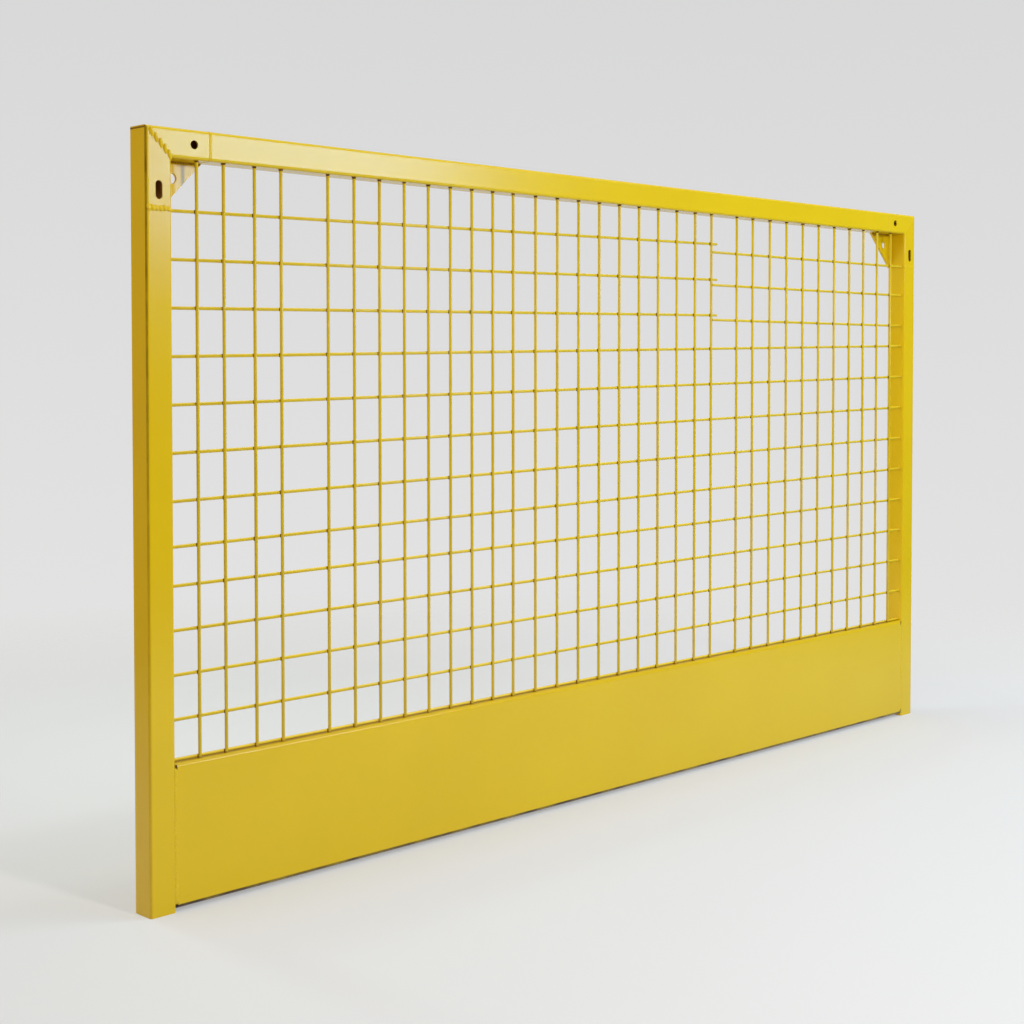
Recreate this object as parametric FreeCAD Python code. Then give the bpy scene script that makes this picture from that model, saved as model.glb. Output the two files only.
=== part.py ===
import FreeCAD, Part
import math
import os

# Edge protection barrier: a mitred square-tube frame, a wire mesh and a folded toe board.
# Millimetres. X runs along the barrier, Y from its front to its back and Z up.
# The origin is the middle of the left post's foot.

# Frame of square tube
overall_length = 1954.0
overall_height = 1100.0
tube_size = 42.0
tube_wall = 2.5
tube_corner_radius = 4.5
foot_cap_thickness = 3.0

# Mitred corner units, measured from the frame's outer corners
corner_arm_length = 106.0
corner_upright_length = 113.0
arm_hole_diameter = 12.5
arm_hole_from_end = 79.0
slot_width = 11.0
slot_length = 26.0
slot_from_top = 88.0

# Gusset plates inside the top corners
gusset_leg = 73.0
gusset_thickness = 5.0
gusset_setback = 0.5
gusset_hole_diameter = 15.0
gusset_hole_inset = 24.0

# Toe board, a sheet folded to a channel that is open at the back
toe_height = 206.0
toe_depth = 36.0
toe_sheet = 2.0
toe_bend_radius = 6.0
toe_lip = 18.0
toe_floor_gap = 5.0
relief_width = 2.0
relief_height = 6.5

# Wire mesh, two mats that meet at one upright wire
wire_diameter = 5.0
wire_setback = 4.1
weld_sink = 0.8
lapped_wire_count = 3
lapped_rise = 17.0
lap_stub = 21.0
least_bay = 30.0

# Bays between upright wires, from the left post to the right one: each width and how often it comes
left_mat_bay_widths = (44.5, 45.5, 54.0, 47.5, 87.5, 50.8, 47.7, 53.6, 49.0)
left_mat_bay_counts = (1, 1, 1, 1, 1, 4, 4, 9, 1)
right_mat_bay_widths = (78.7, 50.8, 55.6, 52.2)
right_mat_bay_counts = (1, 1, 6, 3)

# Bays between level wires, down from the rail, at the left post and at the right one
left_post_bay_widths = (72.5, 67.8, 64.0, 55.0, 63.0)
left_post_bay_counts = (1, 6, 1, 1, 3)
right_post_bay_widths = (71.0, 62.5, 66.5, 44.0, 67.2)
right_post_bay_counts = (1, 1, 1, 1, 8)

# Sizes that follow from those above
half_tube = tube_size / 2
post_spacing = overall_length - tube_size
rail_underside = overall_height - tube_size
rail_axis_height = overall_height - half_tube
post_height = overall_height - corner_upright_length
front_face = -half_tube
left_inner_face = half_tube
right_inner_face = post_spacing - half_tube
toe_top = toe_floor_gap + toe_height
# A six-sided bar with the section area of the round wire
bar_radius = wire_diameter / 2 * math.sqrt(2 * math.pi / (3 * math.sqrt(3)))
bar_half_depth = bar_radius * math.cos(math.pi / 6)
# The lowest wire lies on the toe board
edge_wire_height = toe_top + bar_radius
upright_wire_y = front_face + wire_setback + bar_half_depth
level_wire_y = upright_wire_y + 2 * bar_half_depth - weld_sink

along_x = FreeCAD.Vector(1, 0, 0)
along_y = FreeCAD.Vector(0, 1, 0)
along_z = FreeCAD.Vector(0, 0, 1)


def rounded_outline(centre, across, up, width, height, radius):
    edges = []
    corners = ((1, 1, 0), (-1, 1, 90), (-1, -1, 180), (1, -1, 270))
    arcs = []
    for side, level, turn in corners:
        middle = centre + across * (side * (width / 2 - radius)) + up * (level * (height / 2 - radius))
        points = []
        for angle in (turn, turn + 45, turn + 90):
            reach = math.radians(angle)
            points.append(middle + across * (radius * math.cos(reach)) + up * (radius * math.sin(reach)))
        arcs.append(points)
    for index, points in enumerate(arcs):
        edges.append(Part.Arc(*points).toShape())
        following = arcs[(index + 1) % len(arcs)][0]
        if points[2].distanceToPoint(following) > Part.Precision.confusion():
            edges.append(Part.makeLine(points[2], following))
    return Part.Wire(edges)


def prism(outline, travel):
    return Part.Face(outline).extrude(travel)


def side_prism(corners, front, depth):
    points = [FreeCAD.Vector(x, front, z) for x, z in corners]
    return prism(Part.makePolygon(points + points[:1]), along_y * depth)


def cross_hole(x, z, diameter):
    start = FreeCAD.Vector(x, -tube_size, z)
    return Part.makeCylinder(diameter / 2, 2 * tube_size, start, along_y)


def bore_outline(centre, across, up):
    reach = half_tube - tube_wall
    points = []
    for side, level in ((1, 1), (-1, 1), (-1, -1), (1, -1), (1, 1)):
        points.append(centre + across * (side * reach) + up * (level * reach))
    return Part.makePolygon(points)


def square_tube(start, travel, across, up):
    outside = rounded_outline(start, across, up, tube_size, tube_size, tube_corner_radius)
    return prism(outside, travel).cut(prism(bore_outline(start, across, up), travel))


def left_post():
    return square_tube(FreeCAD.Vector(0, 0, 0), along_z * post_height, along_x, along_y)


def left_foot_cap():
    return prism(bore_outline(FreeCAD.Vector(0, 0, 0), along_x, along_y), along_z * foot_cap_thickness)


def top_rail():
    start = FreeCAD.Vector(corner_arm_length - half_tube, 0, rail_axis_height)
    length = overall_length - 2 * corner_arm_length
    return square_tube(start, along_x * length, along_y, along_z)


def left_corner_upright():
    start = FreeCAD.Vector(0, 0, post_height)
    tube = square_tube(start, along_z * corner_upright_length, along_x, along_y)
    mitred = (
        (-half_tube, post_height),
        (half_tube, post_height),
        (half_tube, rail_underside),
        (-half_tube, overall_height),
    )
    slot_centre = FreeCAD.Vector(0, -tube_size, overall_height - slot_from_top)
    slot = rounded_outline(slot_centre, along_x, along_z, slot_width, slot_length, slot_width / 2)
    leg = tube.common(side_prism(mitred, front_face, tube_size))
    return leg.cut(prism(slot, along_y * (2 * tube_size)))


def left_corner_arm():
    arm_end = corner_arm_length - half_tube
    start = FreeCAD.Vector(-half_tube, 0, rail_axis_height)
    tube = square_tube(start, along_x * corner_arm_length, along_y, along_z)
    mitred = (
        (-half_tube, overall_height),
        (half_tube, rail_underside),
        (arm_end, rail_underside),
        (arm_end, overall_height),
    )
    leg = tube.common(side_prism(mitred, front_face, tube_size))
    return leg.cut(cross_hole(arm_hole_from_end - half_tube, rail_axis_height, arm_hole_diameter))


def left_gusset():
    triangle = (
        (left_inner_face, rail_underside),
        (left_inner_face, rail_underside - gusset_leg),
        (left_inner_face + gusset_leg, rail_underside),
    )
    front = half_tube - gusset_setback - gusset_thickness
    hole_x = left_inner_face + gusset_hole_inset
    hole_z = rail_underside - gusset_hole_inset
    plate = side_prism(triangle, front, gusset_thickness)
    return plate.cut(cross_hole(hole_x, hole_z, gusset_hole_diameter))


def toe_board():
    length = right_inner_face - left_inner_face
    centre_y = front_face + toe_depth / 2
    centre_z = toe_floor_gap + toe_height / 2
    start = FreeCAD.Vector(left_inner_face, centre_y, centre_z)
    inner_depth = toe_depth - 2 * toe_sheet
    inner_height = toe_height - 2 * toe_sheet
    inner_radius = toe_bend_radius - toe_sheet
    outside = rounded_outline(start, along_y, along_z, toe_depth, toe_height, toe_bend_radius)
    inside = rounded_outline(start, along_y, along_z, inner_depth, inner_height, inner_radius)
    back = FreeCAD.Vector(left_inner_face, centre_y, toe_floor_gap + toe_lip)
    mouth = Part.makeBox(length, toe_depth, toe_height - 2 * toe_lip, back)
    board = prism(outside, along_x * length).cut(prism(inside, along_x * length)).cut(mouth)
    # A slit at each end of both front folds
    for x in (left_inner_face, right_inner_face - relief_width):
        for fold in (toe_floor_gap + toe_bend_radius, toe_top - toe_bend_radius):
            corner = FreeCAD.Vector(x, front_face, fold - relief_height / 2)
            board = board.cut(Part.makeBox(relief_width, toe_bend_radius, relief_height, corner))
    return board


def stations(widths, counts, room, carry_on):
    places = []
    place = 0.0
    for width, count in zip(widths, counts):
        for step in range(count):
            place += width
            places.append(place)
    while carry_on and place + width <= room:
        place += width
        places.append(place)
    return [place for place in places if place <= room]


def bar(start, travel, corner_way):
    points = []
    for corner in range(7):
        angle = corner * math.pi / 3
        reach = corner_way * math.cos(angle) + along_y * math.sin(angle)
        points.append(start + reach * bar_radius)
    return prism(Part.makePolygon(points), travel)


def upright_wire(x):
    foot = edge_wire_height - wire_diameter / 2
    return bar(FreeCAD.Vector(x, upright_wire_y, foot), along_z * (rail_underside - foot), along_x)


def level_wire(left_x, left_z, right_x, right_z):
    travel = FreeCAD.Vector(right_x - left_x, 0, right_z - left_z)
    return bar(FreeCAD.Vector(left_x, level_wire_y, left_z), travel, along_z)


def mesh_mats():
    inner_length = right_inner_face - left_inner_face
    left_room = inner_length - least_bay - lap_stub
    left_steps = stations(left_mat_bay_widths, left_mat_bay_counts, left_room, False)
    left_places = [left_inner_face + step for step in left_steps]
    lap_x = left_places[-1]
    right_room = right_inner_face - least_bay - lap_x
    right_steps = stations(right_mat_bay_widths, right_mat_bay_counts, right_room, True)
    right_places = [lap_x + step for step in right_steps]
    meet_x = lap_x + lap_stub

    drop_room = rail_underside - edge_wire_height - least_bay
    left_drops = stations(left_post_bay_widths, left_post_bay_counts, drop_room, True)
    right_drops = stations(right_post_bay_widths, right_post_bay_counts, drop_room, True)
    left_heights = [rail_underside - drop for drop in left_drops]
    right_heights = [rail_underside - drop for drop in right_drops]
    heights = list(zip(left_heights, right_heights)) + [(edge_wire_height, edge_wire_height)]

    left_bars = [upright_wire(x) for x in left_places]
    right_bars = [upright_wire(x) for x in right_places]
    lap_bar = upright_wire(lap_x)
    for number, (left_z, right_z) in enumerate(heights):
        if number < lapped_wire_count:
            left_bars.append(level_wire(left_inner_face, left_z, meet_x, left_z + lapped_rise))
            right_bars.append(level_wire(lap_x, right_z, right_inner_face, right_z).cut(lap_bar))
        else:
            share = (meet_x - left_inner_face) / inner_length
            meet_z = left_z + share * (right_z - left_z)
            left_bars.append(level_wire(left_inner_face, left_z, meet_x, meet_z))
            right_bars.append(level_wire(meet_x, meet_z, right_inner_face, right_z))
    return left_bars[0].multiFuse(left_bars[1:]), right_bars[0].multiFuse(right_bars[1:])


def mirrored(shape):
    return shape.mirror(FreeCAD.Vector(post_spacing / 2, 0, 0), along_x)


def save(name, shape):
    solids = shape.Solids
    kept = solids[0] if len(solids) == 1 else Part.makeCompound(solids)
    kept.exportStep("parts/" + name + ".step")
    print(name, "solids", len(solids), "valid", kept.isValid(), "volume", round(kept.Volume))


os.makedirs("parts", exist_ok=True)
for name, shape in (
    ("post", left_post()),
    ("foot_cap", left_foot_cap()),
    ("corner_upright", left_corner_upright()),
    ("corner_arm", left_corner_arm()),
    ("gusset", left_gusset()),
):
    save("left_" + name, shape)
    save("right_" + name, mirrored(shape))
save("top_rail", top_rail())
save("toe_board", toe_board())
left_mat, right_mat = mesh_mats()
save("left_mesh", left_mat)
save("right_mesh", right_mat)
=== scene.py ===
import math
import random
import bpy
from mathutils import Matrix, Vector


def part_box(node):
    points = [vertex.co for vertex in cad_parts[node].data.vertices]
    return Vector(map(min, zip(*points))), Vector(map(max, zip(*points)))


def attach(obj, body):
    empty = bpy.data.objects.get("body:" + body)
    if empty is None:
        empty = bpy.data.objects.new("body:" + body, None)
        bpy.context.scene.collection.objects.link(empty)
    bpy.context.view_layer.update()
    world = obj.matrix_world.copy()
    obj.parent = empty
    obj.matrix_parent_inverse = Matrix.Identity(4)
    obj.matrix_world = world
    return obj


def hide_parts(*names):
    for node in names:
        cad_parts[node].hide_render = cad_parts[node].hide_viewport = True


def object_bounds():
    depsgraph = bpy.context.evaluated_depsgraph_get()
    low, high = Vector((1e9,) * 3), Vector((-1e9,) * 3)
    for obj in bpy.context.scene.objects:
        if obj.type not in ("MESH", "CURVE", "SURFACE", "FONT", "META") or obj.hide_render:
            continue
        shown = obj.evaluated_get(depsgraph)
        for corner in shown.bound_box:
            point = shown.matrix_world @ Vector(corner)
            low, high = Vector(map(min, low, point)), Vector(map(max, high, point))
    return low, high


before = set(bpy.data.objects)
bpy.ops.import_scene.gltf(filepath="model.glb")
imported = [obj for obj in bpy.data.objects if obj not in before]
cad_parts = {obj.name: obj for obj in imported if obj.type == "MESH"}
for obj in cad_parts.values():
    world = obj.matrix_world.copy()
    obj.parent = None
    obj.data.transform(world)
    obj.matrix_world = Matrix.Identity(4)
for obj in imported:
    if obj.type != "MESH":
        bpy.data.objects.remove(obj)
cadLow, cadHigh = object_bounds()
print("frame loaded", len(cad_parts), "nodes")

mm = 0.001
xAxis, yAxis, zAxis = 0, 1, 2
bpy.context.scene.view_settings.view_transform = "Standard"


# Small tools

def dropSelection():
    bpy.ops.object.select_all(action="DESELECT")


def pick(*items):  # only these are selected, the first one active
    dropSelection()
    for item in items:
        item.select_set(True)
    bpy.context.view_layer.objects.active = items[0]


def placeInMesh(piece):
    pick(piece)
    bpy.ops.object.transform_apply(location=True, rotation=True, scale=True)


def applyModifier(piece, kind, **choices):
    pick(piece)
    bpy.ops.object.modifier_add(type=kind)
    modifier = piece.modifiers[-1]
    for choice, value in choices.items():
        setattr(modifier, choice, value)
    bpy.ops.object.modifier_apply(modifier=modifier.name)


def joinAll(pieces):
    pick(*pieces)
    if len(pieces) > 1:
        bpy.ops.object.join()
    return bpy.context.object


def stampCopies(master, places):  # one modelled shape, copied with its own mesh to each place
    copies = []
    for place in places:
        copy = master.copy()
        copy.data = master.data.copy()
        copy.matrix_world = place
        bpy.context.collection.objects.link(copy)
        copies.append(copy)
    bpy.data.objects.remove(master)
    piece = joinAll(copies)
    placeInMesh(piece)
    return piece


def unitSphere(segments, rings):
    dropSelection()
    bpy.ops.mesh.primitive_uv_sphere_add(segments=segments, ring_count=rings, radius=1)
    return bpy.context.object


def standAlong(way):  # turns a piece's Z that way
    return way.to_track_quat("Z", "Y").to_matrix().to_4x4()


def bevelEdges(piece, wanted, offset, steps):  # wanted says which edges, by their two ends
    pick(piece)
    bpy.ops.object.mode_set(mode="EDIT")
    bpy.ops.mesh.select_mode(type="EDGE")
    bpy.ops.mesh.select_all(action="DESELECT")
    bpy.ops.object.mode_set(mode="OBJECT")
    points = piece.data.vertices
    for edge in piece.data.edges:
        edge.select = wanted(points[edge.vertices[0]].co, points[edge.vertices[1]].co)
    bpy.ops.object.mode_set(mode="EDIT")
    bpy.ops.mesh.bevel(offset=offset, segments=steps, affect="EDGES")
    bpy.ops.object.mode_set(mode="OBJECT")


def smoothShade(piece, degrees):
    pick(piece)
    bpy.ops.object.shade_smooth_by_angle(angle=math.radians(degrees))


def handIn(piece, name, paint):
    placeInMesh(piece)
    piece.name = name
    piece.data.name = name
    piece.data.materials.clear()
    piece.data.materials.append(paint)
    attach(piece, "root")
    print("made", name, len(piece.data.polygons), "faces")
    return piece


# Camera

cameraSpec = {
    "place": (-1.26414, -1.98855, 0.76684),
    "yaw": 44.737,  # degrees from straight ahead towards the right post
    "tiltDown": 1.859,
    "lens": 58.10,
    "sensor": 36,
    "shiftX": -0.00025,
    "shiftY": -0.0887,
    "clip": 100,
}


def addCamera():
    turn = (math.radians(90 - cameraSpec["tiltDown"]), 0, -math.radians(cameraSpec["yaw"]))
    bpy.ops.object.camera_add(location=cameraSpec["place"], rotation=turn)
    camera = bpy.context.object
    camera.data.lens = cameraSpec["lens"]
    camera.data.sensor_width = cameraSpec["sensor"]
    camera.data.shift_x = cameraSpec["shiftX"]
    camera.data.shift_y = cameraSpec["shiftY"]
    camera.data.clip_end = cameraSpec["clip"]
    bpy.context.scene.camera = camera
    print("camera placed")


# Shader nodes: a place is a socket of coordinates

mixFirst, mixSecond, mixResult = 6, 7, 2  # the Mix node's colour sockets


def addNode(tree, kind, **choices):
    node = tree.nodes.new(kind)
    for choice, value in choices.items():
        setattr(node, choice, value)
    return node


def newMaterial(name):
    material = bpy.data.materials.new(name)
    material.use_nodes = True
    return material, material.node_tree, material.node_tree.nodes["Principled BSDF"]


def noiseOf(tree, place, scale, detail):
    noise = addNode(tree, "ShaderNodeTexNoise")
    noise.inputs["Scale"].default_value = scale
    noise.inputs["Detail"].default_value = detail
    tree.links.new(place, noise.inputs["Vector"])
    return noise.outputs["Fac"]


def spread(tree, source, low, high, newLow, newHigh):
    node = addNode(tree, "ShaderNodeMapRange", clamp=True)
    sockets = ("From Min", "From Max", "To Min", "To Max")
    for socket, value in zip(sockets, (low, high, newLow, newHigh)):
        node.inputs[socket].default_value = value
    tree.links.new(source, node.inputs["Value"])
    return node.outputs["Result"]


def combine(tree, operation, *values):  # sockets or floats, joined one after the other
    result = values[0]
    for value in values[1:]:
        node = addNode(tree, "ShaderNodeMath", operation=operation)
        for socket, source in zip(node.inputs, (result, value)):
            if isinstance(source, float):
                socket.default_value = source
            else:
                tree.links.new(source, socket)
        result = node.outputs["Value"]
    return result


def axesOf(tree, place):
    parts = addNode(tree, "ShaderNodeSeparateXYZ")
    tree.links.new(place, parts.inputs["Vector"])
    return parts.outputs


def awayFrom(tree, value, spot):  # distance of a coordinate from a spot on its axis
    size = addNode(tree, "ShaderNodeMath", operation="ABSOLUTE")
    tree.links.new(combine(tree, "SUBTRACT", value, float(spot)), size.inputs[0])
    return size.outputs["Value"]


def band(tree, value, low, high, soft):  # 1 from low to high, 0 outside
    rise = spread(tree, value, low - soft, low, 0, 1)
    return combine(tree, "MULTIPLY", rise, spread(tree, value, high, high + soft, 1, 0))


def mixTone(tree, factor, first, second):
    mix = addNode(tree, "ShaderNodeMix", data_type="RGBA")
    tree.links.new(factor, mix.inputs["Factor"])
    for number, tone in ((mixFirst, first), (mixSecond, second)):
        if isinstance(tone, tuple):
            mix.inputs[number].default_value = (*tone, 1)
        else:
            tree.links.new(tone, mix.inputs[number])
    return mix.outputs[mixResult]


def seenRay(tree):  # 1 for camera, glossy and transmission rays
    path = addNode(tree, "ShaderNodeLightPath")
    kinds = ("Is Camera Ray", "Is Glossy Ray", "Is Transmission Ray")
    return combine(tree, "MAXIMUM", *[path.outputs[kind] for kind in kinds])


# Paint

paintSpec = {
    "tone": (0.800, 0.552, 0.006),
    "deepTone": (0.770, 0.522, 0.005),
    "cloudScale": 5.0,
    "grainScale": 420.0,
    "grainShare": 0.35,
    "peelScale": 260.0,
    "peelDepth": 0.10 * mm,
    "peelStrength": 0.07,
    "roughLow": 0.18,
    "roughHigh": 0.23,
    "specular": 0.45,
}
# painted light: the rail's coat is a lighter, more lemon copy of the frame coat, standing in for the
# brighter light on the rail
railLitCoatSpec = {**paintSpec, "tone": (0.820, 0.588, 0.008), "deepTone": (0.790, 0.556, 0.007)}
toePaintSpec = {**paintSpec, "cloudScale": 3.0}
# painted shade: the wires' coat is a darker copy of the frame coat
wirePaintSpec = {
    **paintSpec,
    "tone": (0.74, 0.537, 0.018),
    "deepTone": (0.68, 0.485, 0.015),
    "cloudScale": 14.0,
}
weldPaintSpec = {
    **paintSpec,
    "cloudScale": 40.0,
    "peelStrength": 0.15,
    "roughLow": 0.22,
    "roughHigh": 0.30,
}
# painted shade: a very dark brown coat for the spot welds at the wire crossings and the welds at the wire
# tops, standing in for the shade at the crossings and under the rail
weldShadeSpec = {
    **paintSpec,
    "tone": (0.19, 0.088, 0.005),
    "deepTone": (0.10, 0.042, 0.003),
    "cloudScale": 90.0,
    "roughLow": 0.6,
    "roughHigh": 0.75,
    "specular": 0.2,
}
# partly painted shade: a brown coat on the gusset welds, partly weld discolouration and partly shade where
# the gusset meets the rail and the post
gussetStainAndShadeSpec = {**weldShadeSpec, "tone": (0.52, 0.33, 0.015), "deepTone": (0.34, 0.19, 0.010)}
noiseSpec = {  # the same in every coat
    "cloudDetail": 4,
    "cloudRange": (0.35, 0.65),
    "grainDetail": 2,
    "grainRange": (0.4, 0.75),
    "glossScale": 9,  # times the clouds' scale
    "glossDetail": 3,
    "glossRange": (0.3, 0.7),
    "peelDetail": 2,
    "patchDetail": 3,
}


def cloudTone(tree, place, spec):
    cloud = noiseOf(tree, place, spec["cloudScale"], noiseSpec["cloudDetail"])
    share = spread(tree, cloud, *noiseSpec["cloudRange"], 0, 1)
    return mixTone(tree, share, spec["tone"], spec["deepTone"])


def powderCoat(name, spec, *marks):  # a mark is its share of the surface and its tones
    material, tree, shader = newMaterial(name)
    place = addNode(tree, "ShaderNodeTexCoord").outputs["Object"]
    tone = cloudTone(tree, place, spec)
    grain = noiseOf(tree, place, spec["grainScale"], noiseSpec["grainDetail"])
    speckle = spread(tree, grain, *noiseSpec["grainRange"], 0, spec["grainShare"])
    tone = mixTone(tree, speckle, tone, spec["deepTone"])
    for share, markSpec in marks:
        tone = mixTone(tree, share(tree, place), tone, cloudTone(tree, place, markSpec))
    tree.links.new(tone, shader.inputs["Base Color"])
    gloss = noiseOf(tree, place, spec["cloudScale"] * noiseSpec["glossScale"], noiseSpec["glossDetail"])
    rough = spread(tree, gloss, *noiseSpec["glossRange"], spec["roughLow"], spec["roughHigh"])
    tree.links.new(rough, shader.inputs["Roughness"])
    bump = addNode(tree, "ShaderNodeBump")
    bump.inputs["Strength"].default_value = spec["peelStrength"]
    bump.inputs["Distance"].default_value = spec["peelDepth"]
    peel = noiseOf(tree, place, spec["peelScale"], noiseSpec["peelDetail"])
    tree.links.new(peel, bump.inputs["Height"])
    tree.links.new(bump.outputs["Normal"], shader.inputs["Normal"])
    shader.inputs["Specular IOR Level"].default_value = spec["specular"]
    return material


def raggedShare(tree, place, spec):  # patches where a mark is thinner
    patches = noiseOf(tree, place, spec["patchScale"], noiseSpec["patchDetail"])
    return spread(tree, patches, *spec["patchRange"], spec["patchLeast"], 1)


# Marks on the paint

boreSpec = {  # the coat doesn't reach far into the tubes
    "tone": (0.85, 0.42, 0.14),
    "deepTone": (0.60, 0.27, 0.08),
    "cloudScale": 60.0,
    "deepest": 2.45 * mm,  # below the outer face
    "shallowest": 2.2 * mm,
}


def inBore(node, across):
    low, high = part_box(node)
    middle = (low + high) / 2
    half = (high - low)[across[0]] / 2

    def share(tree, place):
        axes = axesOf(tree, place)
        reach = combine(tree, "MAXIMUM", *[awayFrom(tree, axes[axis], middle[axis]) for axis in across])
        return spread(tree, reach, half - boreSpec["deepest"], half - boreSpec["shallowest"], 1, 0)
    return share, boreSpec


cornerShadeSpec = {  # painted shade: a brown line along the left post's front corner and under its top edge, darker towards the top
    "tone": (0.13, 0.050, 0.003),
    "deepTone": (0.08, 0.030, 0.002),
    "cloudScale": 60.0,
    "soft": 0.4 * mm,
    "bandNear": 0.8 * mm,  # from the front face
    "bandFar": 3.2 * mm,
    "sideReach": 2.4 * mm,  # from the side face
    "footHeight": 0.20,
    "headHeight": 1.05,
    "footShare": 0.20,
    "headShare": 0.82,
    "edgeNear": 1.7 * mm,  # from the top
    "edgeFar": 3.9 * mm,
    "patchScale": 30.0,
    "patchRange": (0.35, 0.6),
    "patchLeast": 0.75,
}


def shadeOnCornerEdges(node):
    spec = cornerShadeSpec
    low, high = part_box(node)

    def share(tree, place):
        x, y, z = axesOf(tree, place)
        corner = combine(
            tree, "MULTIPLY",
            band(tree, y, low.y + spec["bandNear"], low.y + spec["bandFar"], spec["soft"]),
            spread(tree, x, low.x + spec["sideReach"], low.x + spec["sideReach"] + spec["soft"], 1, 0),
            spread(tree, z, spec["footHeight"], spec["headHeight"], spec["footShare"], spec["headShare"]))
        edge = combine(
            tree, "MULTIPLY",
            band(tree, z, high.z - spec["edgeFar"], high.z - spec["edgeNear"], spec["soft"]),
            spread(tree, x, low.x + spec["soft"], low.x + 2 * spec["soft"], 1, 0))
        either = combine(tree, "MAXIMUM", corner, edge)
        return combine(tree, "MULTIPLY", either, raggedShare(tree, place, spec))
    return share, spec


toeShadeSpec = {  # painted shade on the toe board's lower fold and in the slits at its ends
    "tone": (0.080, 0.036, 0.004),
    "deepTone": (0.045, 0.020, 0.003),
    "cloudScale": 45.0,
    "soft": 0.3 * mm,
    "slitWide": 2.3 * mm,
    "farSlitWide": 4.5 * mm,
    "slitHigh": 4.0 * mm,
    "fold": 6.0 * mm,
    "shadeFull": 5.2 * mm,  # above the lower edge
    "shadeGone": 6.4 * mm,
    "shadeShare": 1.0,
    "patchScale": 25.0,
    "patchRange": (0.35, 0.65),
    "patchLeast": 0.65,
}


def shadeOnToeBoard():
    spec = toeShadeSpec
    low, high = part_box("toe_board")
    middle, half = (low + high) / 2, (high - low) / 2
    nearEnd, farEnd = low.x + spec["slitWide"], high.x - spec["farSlitWide"]

    def share(tree, place):
        x, _, z = axesOf(tree, place)
        atEnd = combine(
            tree, "MAXIMUM",
            spread(tree, x, nearEnd, nearEnd + spec["soft"], 1, 0),
            spread(tree, x, farEnd - spec["soft"], farEnd, 0, 1))
        fromFold = awayFrom(tree, awayFrom(tree, z, middle.z), half.z - spec["fold"])
        atFold = spread(tree, fromFold, spec["slitHigh"] - spec["soft"], spec["slitHigh"], 1, 0)
        # painted shade: the slits at the board's ends are painted dark
        slit = combine(tree, "MULTIPLY", atEnd, atFold)
        # painted shade: the lower fold, which faces down, is painted dark
        atFoot = spread(tree, z, low.z + spec["shadeFull"], low.z + spec["shadeGone"], spec["shadeShare"], 0)
        footShade = combine(tree, "MULTIPLY", atFoot, raggedShare(tree, place, spec))
        return combine(tree, "MAXIMUM", slit, footShade)
    return share, spec


upperFoldShadeSpec = {  # painted shade: a darker coat on the board's upper fold, taking back the light that falls on it from above
    "tone": (0.58, 0.385, 0.004),
    "deepTone": (0.53, 0.345, 0.004),
    "cloudScale": 20.0,
    "from": 4.5 * mm,  # below the upper edge
    "full": 1.5 * mm,
    "share": 0.55,
}


def shadeOnUpperFold():
    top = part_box("toe_board")[1].z

    def share(tree, place):
        height = axesOf(tree, place)[zAxis]
        return spread(tree, height, top - upperFoldShadeSpec["from"], top - upperFoldShadeSpec["full"], 0, upperFoldShadeSpec["share"])
    return share, upperFoldShadeSpec


levelWireLightSpec = {  # painted light: the level wires, behind the upright ones, get a paler copy of the wire coat, standing in for more light falling on them
    "tone": (0.93, 0.71, 0.05),
    "deepTone": (0.88, 0.66, 0.04),
    "cloudScale": 14.0,
    "soft": 0.3 * mm,
}


def lightOnLevelWires(uprights, levels):
    between = (uprights[0][0].y + levels[0][0].y) / 2
    soft = levelWireLightSpec["soft"]

    def share(tree, place):
        depth = axesOf(tree, place)[yAxis]
        return spread(tree, depth, between - soft, between + soft, 0, 1)
    return share, levelWireLightSpec


underWireShadeSpec = {  # painted shade on the underside of the lowest wire, which lies on the board
    "tone": (0.55, 0.34, 0.010),
    "deepTone": (0.45, 0.27, 0.008),
    "cloudScale": 60.0,
    "full": -0.5 * mm,  # from the wire's middle
    "gone": 0.4 * mm,
}


def shadeUnderLowestWire(levels):
    middle = min(start.z for start, _ in levels)

    def share(tree, place):
        height = axesOf(tree, place)[zAxis]
        return spread(tree, height, middle + underWireShadeSpec["full"], middle + underWireShadeSpec["gone"], 1, 0)
    return share, underWireShadeSpec


# Wire mesh

wireSpec = {
    "diameter": 5.0 * mm,
    "sides": 14,
    "endBevel": 0.5 * mm,
    "bevelSteps": 2,
    "smooth": 50,  # degrees
    "onPlane": 0.05 * mm,  # points nearer than this to a plane are on it
    "bayLimit": 15.0 * mm,  # points nearer than this belong to one wire
    "lapInset": 3.0 * mm,
}


def wireEnds(node, axis, edge, across):  # middle of each wire that ends on the plane axis = edge
    points = [vertex.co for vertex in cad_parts[node].data.vertices]
    hits = [point for point in points if abs(point[axis] - edge) < wireSpec["onPlane"]]
    hits.sort(key=lambda point: point[across])
    groups = []
    for point in hits:
        if not groups or point[across] - groups[-1][-1][across] > wireSpec["bayLimit"]:
            groups.append([])
        groups[-1].append(point)
    middles = []
    for group in groups:
        low = Vector([min(point[i] for point in group) for i in range(3)])
        high = Vector([max(point[i] for point in group) for i in range(3)])
        middles.append((low + high) / 2)
    return middles


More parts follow.
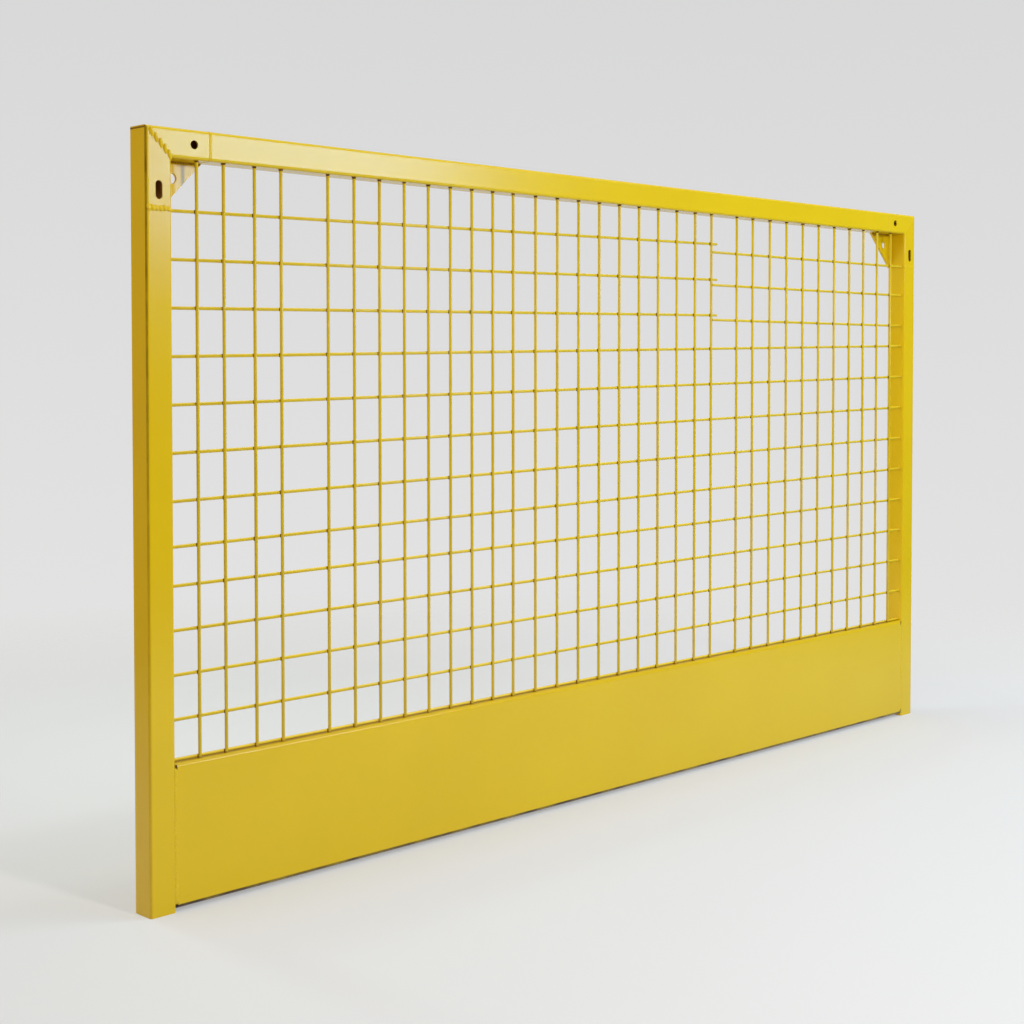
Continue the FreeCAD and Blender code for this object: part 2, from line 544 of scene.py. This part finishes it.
def readWires():  # the start and end of every upright and level wire
    leftLow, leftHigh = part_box("left_mesh")
    _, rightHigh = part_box("right_mesh")
    tops = wireEnds("left_mesh", zAxis, leftHigh.z, xAxis)
    lap = tops[-1]
    tops += wireEnds("right_mesh", zAxis, rightHigh.z, xAxis)
    starts = wireEnds("left_mesh", xAxis, leftLow.x, zAxis)
    stops = wireEnds("left_mesh", xAxis, leftHigh.x, zAxis)
    onward = wireEnds("right_mesh", xAxis, leftHigh.x, zAxis)  # carry on from the left mat
    ends = wireEnds("right_mesh", xAxis, rightHigh.x, zAxis)
    uprights = [(Vector((top.x, top.y, leftLow.z)), top) for top in tops]
    levels = []
    for number, (start, stop, end) in enumerate(zip(starts, stops, ends)):
        if number < len(onward):
            levels.append((start, end))
        else:  # a lapped wire: a stub past the lap, and a lower one that starts there
            levels.append((start, stop))
            levels.append((Vector((lap.x + wireSpec["lapInset"], end.y, end.z)), end))
    print("wires read", len(uprights), "upright", len(levels), "level")
    return uprights, levels


def roundWire(start, end):
    run = end - start
    half = run.length / 2
    dropSelection()
    bpy.ops.mesh.primitive_cylinder_add(
        vertices=wireSpec["sides"], radius=wireSpec["diameter"] / 2, depth=run.length)
    wire = bpy.context.object
    bevelEdges(
        wire, lambda a, b: abs(a.z - b.z) < mm and abs(abs(a.z) - half) < mm,
        wireSpec["endBevel"], wireSpec["bevelSteps"])
    smoothShade(wire, wireSpec["smooth"])
    wire.matrix_world = Matrix.Translation((start + end) / 2) @ standAlong(run)
    return wire


def meshWires(uprights, levels, paint):
    foot, top = uprights[0]
    master = roundWire(foot, top)
    shifts = [Matrix.Translation(other - foot) @ master.matrix_world for other, _ in uprights]
    pieces = [stampCopies(master, shifts)]
    for start, end in levels:
        pieces.append(roundWire(start, end))
    piece = joinAll(pieces)
    handIn(piece, "mesh_wires", paint)
    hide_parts("left_mesh", "right_mesh")


spotSpec = {  # the spot weld at each crossing
    "wide": 3.3 * mm,
    "deep": 2.5 * mm,
    "segments": 8,
    "rings": 6,
    "rough": 0.10,  # how far it strays from round, as a share of its radius
    "roughSeed": 3,
    "wideSpread": (0.9, 1.12),
    "highSpread": (0.92, 1.08),
    "seed": 5,
}


def spotWelds(uprights, levels, paint):
    spec = spotSpec
    master = unitSphere(spec["segments"], spec["rings"])
    bpy.ops.object.mode_set(mode="EDIT")
    bpy.ops.mesh.select_all(action="SELECT")
    bpy.ops.transform.vertex_random(offset=spec["rough"], uniform=1.0, normal=0.0, seed=spec["roughSeed"])
    bpy.ops.object.mode_set(mode="OBJECT")
    bpy.ops.object.shade_smooth()
    chance = random.Random(spec["seed"])
    places = []
    for start, end in levels:
        for foot, _ in uprights:
            if start.x - wireSpec["lapInset"] - mm <= foot.x <= end.x + mm:
                share = (foot.x - start.x) / (end.x - start.x)
                height = start.z + share * (end.z - start.z)
                middle = Vector((max(foot.x, start.x), (foot.y + start.y) / 2, height))
                wide = spec["wide"] * chance.uniform(*spec["wideSpread"])
                high = wide * chance.uniform(*spec["highSpread"])
                places.append(Matrix.Translation(middle) @ Matrix.Diagonal((wide, spec["deep"], high, 1)))
    handIn(stampCopies(master, places), "mesh_spot_welds", paint)


endSpec = {  # the weld at each wire's end
    "baseRadius": 3.9 * mm,
    "neckRadius": 2.6 * mm,
    "high": 4.2 * mm,
    "sunk": 0.3,
    "sides": 10,
    "levelEdge": 0.1 * mm,  # an edge that rises less than this is bevelled
    "bevel": 0.8 * mm,
    "bevelSteps": 2,
    "smooth": 70,  # degrees
    "wideSpread": (0.9, 1.15),
    "deepSpread": (0.9, 1.1),
    "highSpread": (0.8, 1.2),
    "seed": 9,
}


def wireEndWelds(name, ends, paint):
    spec = endSpec
    dropSelection()
    bpy.ops.mesh.primitive_cone_add(
        vertices=spec["sides"], radius1=spec["baseRadius"], radius2=spec["neckRadius"], depth=spec["high"])
    master = bpy.context.object
    bevelEdges(master, lambda a, b: abs(a.z - b.z) < spec["levelEdge"], spec["bevel"], spec["bevelSteps"])
    smoothShade(master, spec["smooth"])
    chance = random.Random(spec["seed"])
    places = []
    for spot, away in ends:
        spin = Matrix.Rotation(chance.uniform(0, math.pi), 4, "Z")
        spreads = (spec["wideSpread"], spec["deepSpread"], spec["highSpread"])
        size = Matrix.Diagonal((*[chance.uniform(*between) for between in spreads], 1))
        middle = spot + away * spec["high"] * (0.5 - spec["sunk"])
        places.append(Matrix.Translation(middle) @ standAlong(away) @ spin @ size)
    handIn(stampCopies(master, places), name, paint)


def allWireEnds(uprights, levels, paint, shadeCoat):
    boardLow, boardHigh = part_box("toe_board")
    # the wire tops under the rail take the painted-shade coat
    wireEndWelds("wire_top_welds", [(top, Vector((0, 0, -1))) for _, top in uprights], shadeCoat)
    ends = [(start, Vector((1, 0, 0))) for start, _ in levels if start.x < boardLow.x + mm]
    ends += [(end, Vector((-1, 0, 0))) for _, end in levels if end.x > boardHigh.x - mm]
    wireEndWelds("wire_end_welds", ends, paint)


# Weld beads

beadSpec = {
    "cornerRadius": 4.5 * mm,
    "frontGap": 0.5 * mm,  # from the flat part's edge to the first stroke of a post's seam
    "backGap": 5.0 * mm,
    "outerGap": 14.0 * mm,  # from the frame's outer corner to the first stroke of a mitre
    "toeGap": 12.0 * mm,  # from the toe board's folds
    "segments": 16,
    "rings": 10,
    "wideSpread": (0.92, 1.08),
    "highSpread": (0.9, 1.1),
    "voxel": 0.45 * mm,
    "soften": 0.5,
    "keep": 0.45,  # share of the faces that stays
    "smooth": 60,  # degrees
    "seed": {"left": 21, "right": 31, "toe": 41},
}
evenStroke = {"lean": 0, "tip": 0, "loose": 6, "stray": 0}
strokeSpec = {  # long is a share of the pitch, the angles are in degrees
    "post": {
        "left": {
            "pitch": 6.8 * mm, "long": 0.60, "wide": 5.0 * mm, "high": 2.0 * mm, "sunk": 0.2 * mm,
            "lean": 38, "tip": 10, "loose": 14, "stray": 0.7 * mm},
        "right": {
            **evenStroke, "pitch": 5.6 * mm, "long": 0.9, "wide": 3.6 * mm, "high": 1.6 * mm,
            "sunk": 1.2 * mm, "lean": 18}},
    "rail": {
        "left": {
            **evenStroke, "pitch": 2.6 * mm, "long": 0.9, "wide": 3.6 * mm, "high": 1.6 * mm,
            "sunk": 1.0 * mm},
        "right": {
            **evenStroke, "pitch": 2.6 * mm, "long": 0.9, "wide": 2.4 * mm, "high": 1.6 * mm,
            "sunk": 1.3 * mm}},
    "mitre": {
        "left": {
            "pitch": 11.0 * mm, "long": 0.74, "wide": 3.2 * mm, "high": 2.3 * mm, "sunk": 0.2 * mm,
            "lean": -32, "tip": 9, "loose": 6, "stray": 0.3 * mm},
        "right": {
            **evenStroke, "pitch": 5.0 * mm, "long": 0.9, "wide": 5.0 * mm, "high": 1.6 * mm,
            "sunk": 1.45 * mm, "lean": 10}},
    "gusset": {
        **evenStroke, "pitch": 4.2 * mm, "long": 0.68, "wide": 2.6 * mm, "high": 2.2 * mm,
        "sunk": 0.0, "lean": 15},
    "toe": {
        **evenStroke, "pitch": 5.4 * mm, "long": 1.1, "wide": 4.0 * mm, "high": 1.6 * mm,
        "sunk": 1.0 * mm, "lean": 10},
}
rightward, backward, upward = Vector((1, 0, 0)), Vector((0, 1, 0)), Vector((0, 0, 1))


def straightRun(start, end, outward, pitch):  # the stations of a bead: spot, way along, way out
    run = end - start
    count = max(2, round(run.length / pitch) + 1)
    along, out = run.normalized(), outward.normalized()
    return [(start + run * (i / (count - 1)), along, out) for i in range(count)]


def ringRun(centre, across, up, half, pitch):  # round a square tube, over its rounded corners
    radius = beadSpec["cornerRadius"]
    flat = 2 * (half - radius)
    bend = radius * math.pi / 2
    whole = 4 * (flat + bend)
    count = round(whole / pitch)
    stations = []
    for i in range(count):
        side, rest = divmod(i * whole / count, flat + bend)
        turn = Matrix.Rotation(side * math.pi / 2, 2)
        if rest < flat:
            spot, out = Vector((half, rest - flat / 2)), Vector((1, 0))
        else:
            angle = (rest - flat) / radius
            out = Vector((math.cos(angle), math.sin(angle)))
            spot = Vector((half - radius, half - radius)) + out * radius
        spot, out = turn @ spot, turn @ out
        outward = across * out.x + up * out.y
        along = across * -out.y + up * out.x
        stations.append((centre + across * spot.x + up * spot.y, along, outward))
    return stations


def layBead(stations, spec, seed):  # one stroke at each station
    master = unitSphere(beadSpec["segments"], beadSpec["rings"])
    chance = random.Random(seed)
    tip = Matrix.Rotation(math.radians(spec["tip"]), 4, "Y")  # one end of each stroke stands up
    places = []
    for spot, along, outward in stations:
        aside = outward.cross(along)
        turn = Matrix((along, aside, outward)).transposed().to_4x4()
        degrees = spec["lean"] + spec["loose"] * chance.uniform(-1, 1)
        lean = Matrix.Rotation(math.radians(degrees), 4, "Z")
        wide = spec["wide"] * chance.uniform(*beadSpec["wideSpread"])
        high = spec["high"] * chance.uniform(*beadSpec["highSpread"])
        size = Matrix.Diagonal((spec["pitch"] * spec["long"], wide, high, 1))
        middle = spot - outward * spec["sunk"] + aside * spec["stray"] * chance.uniform(-1, 1)
        places.append(Matrix.Translation(middle) @ turn @ lean @ tip @ size)
    return stampCopies(master, places)


def fuseBead(pieces):
    piece = joinAll(pieces)
    placeInMesh(piece)
    applyModifier(piece, "REMESH", mode="VOXEL", voxel_size=beadSpec["voxel"])
    applyModifier(piece, "SMOOTH", factor=beadSpec["soften"], iterations=1)
    applyModifier(piece, "DECIMATE", ratio=beadSpec["keep"])
    smoothShade(piece, beadSpec["smooth"])
    return piece


def cornerOf(side):  # the places that one corner's welds share
    armLow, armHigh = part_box(side + "_corner_arm")
    footLow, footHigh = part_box(side + "_corner_upright")
    middle = (footLow + footHigh) / 2
    half = (footHigh.x - footLow.x) / 2
    inward = 1 if side == "left" else -1
    armEnd = armHigh.x if side == "left" else armLow.x
    return {
        "inward": inward,
        "half": half,  # of the tube's width
        "middle": middle,
        "foot": footLow.z,
        "armEnd": Vector((armEnd, middle.y, (armLow.z + armHigh.z) / 2)),
        "outer": Vector((middle.x - inward * half, middle.y, armHigh.z)),
        "inner": Vector((middle.x + inward * half, middle.y, armLow.z)),
    }


def postSeamWeld(side, corner, paint):  # front and back, where the post meets the corner unit
    middle, half = corner["middle"], corner["half"]
    spec = strokeSpec["post"][side]
    beads = []
    for face, gap in ((-1, beadSpec["frontGap"]), (1, beadSpec["backGap"])):
        reach = half - beadSpec["cornerRadius"] - gap
        seam = Vector((middle.x, middle.y + face * half, corner["foot"]))
        shift = rightward * (face * reach)
        run = straightRun(seam + shift, seam - shift, backward * face, spec["pitch"])
        beads.append(layBead(run, spec, beadSpec["seed"][side]))
    handIn(fuseBead(beads), side + "_post_seam_weld", paint)


def railSeamWeld(side, corner, paint):  # all round, where the rail meets the corner unit
    spec = strokeSpec["rail"][side]
    run = ringRun(corner["armEnd"], backward, upward, corner["half"], spec["pitch"])
    ring = layBead(run, spec, beadSpec["seed"][side] + 1)
    handIn(fuseBead([ring]), side + "_rail_seam_weld", paint)


def mitreWeld(side, corner, paint):  # front and back
    outer, inner = corner["outer"], corner["inner"]
    spec = strokeSpec["mitre"][side]
    inset = (inner - outer).normalized()
    beads = []
    for face in (-1, 1):
        depth = backward * (face * corner["half"])
        start = outer + depth + inset * beadSpec["outerGap"]
        end = inner + depth - inset * beadSpec["cornerRadius"]
        run = straightRun(start, end, backward * face, spec["pitch"])
        beads.append(layBead(run, spec, beadSpec["seed"][side] + 2))
    handIn(fuseBead(beads), side + "_mitre_weld", paint)


def gussetWeld(side, corner, paint):  # along the rail and down the post, on both faces of the plate
    spec = strokeSpec["gusset"]
    low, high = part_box(side + "_gusset")
    postX = corner["inner"].x
    railX = high.x if side == "left" else low.x
    gap = spec["pitch"]
    beads = []
    for depth, face in ((low.y, -1), (high.y, 1)):
        root = Vector((postX, depth, high.z))
        railEnd = Vector((railX, depth, high.z))
        postEnd = Vector((postX, depth, low.z))
        for end, wall in ((railEnd, upward), (postEnd, rightward * -corner["inward"])):
            start = root + (end - root).normalized() * gap
            stop = end - (end - root).normalized() * gap
            run = straightRun(start, stop, backward * face - wall, spec["pitch"])
            beads.append(layBead(run, spec, beadSpec["seed"][side] + 3))
    handIn(fuseBead(beads), side + "_gusset_weld", paint)


def toeWeld(side, paint):
    spec = strokeSpec["toe"]
    low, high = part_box("toe_board")
    edge = low.x if side == "left" else high.x
    start = Vector((edge, low.y, low.z + beadSpec["toeGap"]))
    end = Vector((edge, low.y, high.z - beadSpec["toeGap"]))
    run = straightRun(start, end, -backward, spec["pitch"])
    bead = layBead(run, spec, beadSpec["seed"]["toe"])
    handIn(fuseBead([bead]), side + "_toe_board_weld", paint)


# Floor

floorSpec = {
    "tone": (0.435, 0.45, 0.49),
    "rough": 0.9,
    "specular": 0.1,
    "glowTone": (1.0, 0.985, 0.955),
    "nearGlow": 0.325,  # what the eye sees of the floor beyond its own light
    "farGlow": 0.41,
    "glowFrom": 1.3,
    "glowTo": 2.8,
    "fadeFrom": 1.35,
    "fadeTo": 2.8,
    "side": 2.4,  # times the reach of the fade
}


def addFloor():
    spec = floorSpec
    dropSelection()
    middle = ((cadLow.x + cadHigh.x) / 2, 0, cadLow.z)
    bpy.ops.mesh.primitive_plane_add(size=spec["side"] * spec["fadeTo"], location=middle)
    floor = bpy.context.object
    floor.name = "floor"
    material, tree, shader = newMaterial("pale_floor")
    shader.inputs["Base Color"].default_value = (*spec["tone"], 1)
    shader.inputs["Roughness"].default_value = spec["rough"]
    shader.inputs["Specular IOR Level"].default_value = spec["specular"]
    shader.inputs["Emission Color"].default_value = (*spec["glowTone"], 1)
    length = addNode(tree, "ShaderNodeVectorMath", operation="LENGTH")
    tree.links.new(addNode(tree, "ShaderNodeTexCoord").outputs["Object"], length.inputs[0])
    reach = length.outputs["Value"]
    glow = spread(tree, reach, spec["glowFrom"], spec["glowTo"], spec["nearGlow"], spec["farGlow"])
    tree.links.new(combine(tree, "MULTIPLY", seenRay(tree), glow), shader.inputs["Emission Strength"])
    fade = spread(tree, reach, spec["fadeFrom"], spec["fadeTo"], 1, 0)
    tree.links.new(fade, shader.inputs["Alpha"])
    floor.data.materials.append(material)
    print("floor laid")


# Lamps

lampSpec = {
    "softbox": {
        "place": (2.46, -3.0, 1.65), "aim": (0.8, 0, 0.8), "size": (1.32, 0.75), "power": 36,
        "tint": (0.36, 0.62, 1.0), "shine": True},
    "upper": {
        "place": (3.2, -1.9, 2.6), "aim": (1.7, 0, 0.8), "size": (1.4, 1.0), "power": 46,
        "tint": (0.93, 1.0, 0.97), "shine": False},
    "key": {
        "place": (0.36, -3.0, 1.47), "aim": (0.6, 0, 0.8), "size": (0.3, 0.3), "power": 41.5,
        "tint": (1.0, 0.90, 0.78), "shine": False},
    "rear": {
        "place": (0.0, 1.3, 1.22), "aim": (1.9, 0, 0.9), "size": (0.45, 0.45), "power": 9.5,
        "tint": (0.80, 1.0, 0.9), "shine": False},
}
overheadSpec = {"place": (0, 0, 4), "angle": 70, "power": 1.0}


def addLamps():
    for name, spec in lampSpec.items():
        turn = (Vector(spec["aim"]) - Vector(spec["place"])).to_track_quat("-Z", "Y").to_euler()
        bpy.ops.object.light_add(type="AREA", location=spec["place"], rotation=turn)
        lamp = bpy.context.object
        lamp.name = name
        lamp.data.shape = "RECTANGLE"
        lamp.data.size, lamp.data.size_y = spec["size"]
        lamp.data.energy = spec["power"]
        lamp.data.color = spec["tint"]
        lamp.visible_camera = False
        lamp.visible_glossy = spec["shine"]
    bpy.ops.object.light_add(type="SUN", location=overheadSpec["place"])
    overhead = bpy.context.object
    overhead.data.angle = math.radians(overheadSpec["angle"])
    overhead.data.energy = overheadSpec["power"]
    print("lamps hung", len(lampSpec) + 1)


# Background

studioSpec = {
    "ambientTone": (0.07, 0.07, 0.07),
    "warmTone": (0.94, 0.78, 0.44),  # a warm wall on the left
    "warmSide": (-0.92, 0.38, 0.10),
    "warmRange": (0.2, 0.85),
    "backSide": (0.70, 0.71, 0.0),
    "backRange": (0.35, 0.75),
    "backShine": 1.0,  # how much of the backdrop the gloss shows
    "topRange": (0.35, 0.75),
    "topShine": 1.0,
    "dimTone": (0.10, 0.10, 0.10),
    "skyTone": (0.66, 0.66, 0.66),
    "levelTone": (0.735, 0.735, 0.735),
    "groundTone": (0.80, 0.80, 0.795),
    "climbRange": (-0.35, 0.35),  # from the ground's tone to the sky's
    "levelAt": 0.5,
}


def sideShare(tree, way, side, low, high):  # 0 away from that side of the studio, 1 towards it
    lean = addNode(tree, "ShaderNodeVectorMath", operation="DOT_PRODUCT")
    tree.links.new(way, lean.inputs[0])
    lean.inputs[1].default_value = side
    return spread(tree, lean.outputs["Value"], low, high, 0, 1)


def addBackground():
    spec = studioSpec
    world = bpy.data.worlds.new("studio")
    bpy.context.scene.world = world
    world.use_nodes = True
    tree = world.node_tree
    way = addNode(tree, "ShaderNodeTexCoord").outputs["Generated"]
    rise = axesOf(tree, way)[zAxis]

    soft = tree.nodes["Background"]  # what lights the object
    soft.inputs["Strength"].default_value = 1
    warm = sideShare(tree, way, spec["warmSide"], *spec["warmRange"])
    tree.links.new(mixTone(tree, warm, spec["ambientTone"], spec["warmTone"]), soft.inputs["Color"])

    ramp = addNode(tree, "ShaderNodeValToRGB")
    ramp.color_ramp.elements[0].color = (*spec["groundTone"], 1)
    ramp.color_ramp.elements[1].color = (*spec["skyTone"], 1)
    ramp.color_ramp.elements.new(spec["levelAt"]).color = (*spec["levelTone"], 1)
    tree.links.new(spread(tree, rise, *spec["climbRange"], 0, 1), ramp.inputs["Fac"])
    back = sideShare(tree, way, spec["backSide"], *spec["backRange"])
    behind = combine(tree, "MULTIPLY", back, spec["backShine"])
    above = spread(tree, rise, *spec["topRange"], 0, spec["topShine"])
    path = addNode(tree, "ShaderNodeLightPath")
    paper = combine(tree, "MAXIMUM", path.outputs["Is Camera Ray"], behind, above)
    drop = addNode(tree, "ShaderNodeBackground")  # what the eye and the gloss see
    backdrop = mixTone(tree, paper, spec["dimTone"], ramp.outputs["Color"])
    tree.links.new(backdrop, drop.inputs["Color"])

    choose = addNode(tree, "ShaderNodeMixShader")
    tree.links.new(seenRay(tree), choose.inputs["Fac"])
    tree.links.new(soft.outputs["Background"], choose.inputs[1])
    tree.links.new(drop.outputs["Background"], choose.inputs[2])
    tree.links.new(choose.outputs["Shader"], tree.nodes["World Output"].inputs["Surface"])
    print("background set")


# Assembly

addCamera()
framePaint = powderCoat("frame_powder_coat", paintSpec)
weldPaint = powderCoat("weld_powder_coat", weldPaintSpec)
weldShadePaint = powderCoat("weld_painted_shade", weldShadeSpec)
gussetStainAndShadePaint = powderCoat("gusset_weld_stain_and_shade", gussetStainAndShadeSpec)
# the toe board's coat carries painted shade on its upper fold, its lower fold and in its end slits
toePaint = powderCoat("toe_board_powder_coat", toePaintSpec, shadeOnUpperFold(), shadeOnToeBoard())
leftPaint = powderCoat(
    "left_post_powder_coat", paintSpec,
    # painted shade along the corner upright's front corner and top edge
    inBore("left_post", (xAxis, yAxis)), shadeOnCornerEdges("left_corner_upright"))
rightPaint = powderCoat("right_post_powder_coat", paintSpec, inBore("right_post", (xAxis, yAxis)))
railPaint = powderCoat("rail_powder_coat", railLitCoatSpec, inBore("top_rail", (yAxis, zAxis)))

paintOf = {
    "toe_board": toePaint,
    "left_post": leftPaint,
    "left_corner_upright": leftPaint,
    "right_post": rightPaint,
    "right_corner_upright": rightPaint,
    "top_rail": railPaint,
    "left_corner_arm": railPaint,
    "right_corner_arm": railPaint,
}
for name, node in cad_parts.items():
    node.data.materials.clear()
    node.data.materials.append(paintOf.get(name, framePaint))
print("nodes painted")

uprightWires, levelWires = readWires()
wirePaint = powderCoat(
    "wire_powder_coat", wirePaintSpec,
    # painted light on the level wires, painted shade under the lowest one
    lightOnLevelWires(uprightWires, levelWires), shadeUnderLowestWire(levelWires))
meshWires(uprightWires, levelWires, wirePaint)
# the spot welds take the painted-shade coat, dark where the crossings are in shade
spotWelds(uprightWires, levelWires, weldShadePaint)
allWireEnds(uprightWires, levelWires, weldPaint, weldShadePaint)
for side in ("left", "right"):
    corner = cornerOf(side)
    postSeamWeld(side, corner, weldPaint)
    railSeamWeld(side, corner, weldPaint)
    mitreWeld(side, corner, weldPaint)
    gussetWeld(side, corner, gussetStainAndShadePaint)
    toeWeld(side, weldPaint)

addFloor()
addLamps()
addBackground()
